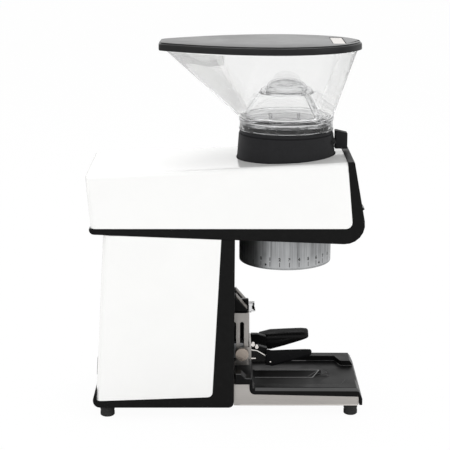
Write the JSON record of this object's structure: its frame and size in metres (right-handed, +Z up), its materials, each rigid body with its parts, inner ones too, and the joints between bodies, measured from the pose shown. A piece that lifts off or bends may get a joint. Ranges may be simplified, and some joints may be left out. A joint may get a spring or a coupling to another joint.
{
  "type": "electric coffee grinder",
  "caption": "Tall belt-driven coffee grinder with a leaning head, clear eccentric hopper, slide gate, adjusting ring, filter-holder fork and drip tray.",
  "frame": {"origin": "on the floor under the middle of the grinder's bounding box", "axes": "+X towards the front with the display and the fork, +Y to the grinder's own left, +Z up"},
  "size_m": [0.44, 0.196, 0.592],
  "materials": {
    "white_cover": "gloss",
    "black_satin": "satin",
    "black_moulding": "satin",
    "black_matte": "matt",
    "lid_grey": "satin",
    "clear_plastic": "clear gloss",
    "brushed_ring": "brushed",
    "stainless": "brushed",
    "nickel": "satin",
    "bearing_steel": "ground",
    "cast_alloy": "as cast",
    "capacitor_can": "drawn",
    "foot_rubber": "matt",
    "dark_glass": "gloss",
    "circuit_board": "satin"
  },
  "bodies": {
    "housing": {"head_frame": "black_satin", "head_cover": "white_cover", "column_frame": "black_satin", "column_cover": "white_cover", "base_plate": "stainless", "foot_front_left": "foot_rubber", "foot_front_right": "foot_rubber", "foot_rear_left": "foot_rubber", "foot_rear_right": "foot_rubber", "grinding_chamber": "cast_alloy", "bearing_bridge": "cast_alloy", "lower_bearing": "bearing_steel", "upper_bearing": "bearing_steel", "feed_throat": "black_moulding", "hopper_collar": "black_matte", "motor_body": "cast_alloy", "motor_mount": "stainless", "drive_belt": "foot_rubber", "start_capacitor": "capacitor_can", "fork_bracket": "stainless", "trigger_housing": "black_satin", "display_glass": "dark_glass", "control_board": "circuit_board", "power_inlet": "black_moulding", "switch_frame": "black_moulding"},
    "rotor": {"rotor_hub": "bearing_steel", "rotor_pulley": "cast_alloy", "upper_burr": "bearing_steel"},
    "motor_rotor": {"motor_shaft": "bearing_steel", "motor_pulley": "cast_alloy", "cooling_fan": "black_moulding"},
    "ring": {"adjusting_ring": "brushed_ring"},
    "burr_set": {"burr_carrier": "cast_alloy", "lower_burr": "bearing_steel", "outlet_funnel": "black_moulding"},
    "hopper": {"hopper_neck": "clear_plastic", "hopper_bowl": "clear_plastic", "bean_guard": "clear_plastic"},
    "lid": {"hopper_lid": "lid_grey", "lid_plate": "lid_grey"},
    "gate": {"gate_slide": "stainless", "gate_grip": "black_matte"},
    "tray": {"drip_tray": "black_moulding"},
    "fork": {"fork_slider": "cast_alloy", "fork_carriage": "stainless", "fork_arm_left": "black_moulding", "fork_arm_right": "black_moulding", "fork_sleeve_left": "black_matte", "fork_sleeve_right": "black_matte"},
    "knob_left": {"clamp_knob_left": "nickel"},
    "knob_right": {"clamp_knob_right": "nickel"},
    "trigger": {"trigger_lever": "black_moulding", "trigger_clip": "clear_plastic"},
    "start_button": {"start_key": "black_moulding"},
    "menu_button_left": {"menu_key_left": "nickel"},
    "menu_button_right": {"menu_key_right": "nickel"},
    "rocker": {"power_rocker": "black_moulding"}
  },
  "joints": [
    {"name": "rotor_spin", "type": "hinge", "parent": "housing", "child": "rotor", "pos_m": [0.093, 0, 0.34], "axis": [0, 0, 1], "continuous": true},
    {"name": "motor_spin", "type": "hinge", "parent": "housing", "child": "motor_rotor", "pos_m": [-0.11, 0, 0.34], "axis": [0, 0, 1], "continuous": true},
    {"name": "ring_turn", "type": "hinge", "parent": "housing", "child": "ring", "pos_m": [0.093, 0, 0.27], "axis": [0, 0, 1], "range_deg": [-37.5, 62.5]},
    {"name": "burr_lift", "type": "slide", "parent": "housing", "child": "burr_set", "axis": [0, 0, 1], "range_m": [-0.00025, 0.0004]},
    {"name": "hopper_lift", "type": "slide", "parent": "housing", "child": "hopper", "axis": [0, 0, 1], "range_m": [0, 0.06]},
    {"name": "lid_lift", "type": "slide", "parent": "hopper", "child": "lid", "axis": [0, 0, 1], "range_m": [0, 0.03]},
    {"name": "gate_pull", "type": "slide", "parent": "housing", "child": "gate", "axis": [1, 0, 0], "range_m": [0, 0.058]},
    {"name": "tray_pull", "type": "slide", "parent": "housing", "child": "tray", "axis": [1, 0, 0], "range_m": [0, 0.15]},
    {"name": "fork_lift", "type": "slide", "parent": "housing", "child": "fork", "axis": [0, 0, 1], "range_m": [-0.008, 0.035]},
    {"name": "knob_left_turn", "type": "hinge", "parent": "fork", "child": "knob_left", "pos_m": [0.0234, 0.042, 0.0889], "axis": [0, 1, 0], "range_deg": [0, 180]},
    {"name": "knob_right_turn", "type": "hinge", "parent": "fork", "child": "knob_right", "pos_m": [0.0234, -0.042, 0.0889], "axis": [0, -1, 0], "range_deg": [0, 180]},
    {"name": "trigger_press", "type": "hinge", "parent": "housing", "child": "trigger", "pos_m": [0.008, 0, 0.166], "axis": [0, 1, 0], "range_deg": [0, 5], "stiffness_Nm_per_rad": 0.6, "springref_deg": -2.86},
    {"name": "start_press", "type": "slide", "parent": "housing", "child": "start_button", "axis": [-1, 0, 0], "range_m": [0, 0.0012], "stiffness_N_per_m": 400, "springref_m": -0.001},
    {"name": "menu_left_press", "type": "slide", "parent": "housing", "child": "menu_button_left", "axis": [-0.9833, 0, -0.1822], "range_m": [0, 0.0008], "stiffness_N_per_m": 400, "springref_m": -0.001},
    {"name": "menu_right_press", "type": "slide", "parent": "housing", "child": "menu_button_right", "axis": [-0.9833, 0, -0.1822], "range_m": [0, 0.0008], "stiffness_N_per_m": 400, "springref_m": -0.001},
    {"name": "power_tilt", "type": "hinge", "parent": "housing", "child": "rocker", "pos_m": [-0.20758, 0.034, 0.074], "axis": [0, 1, 0], "range_deg": [-14, 0]}
  ],
  "couplings": [
    {"joint": "motor_spin", "follows": "rotor_spin", "ratio": 1.7241},
    {"joint": "burr_lift", "follows": "ring_turn", "m_per_rad": 0.00031831}
  ]
}
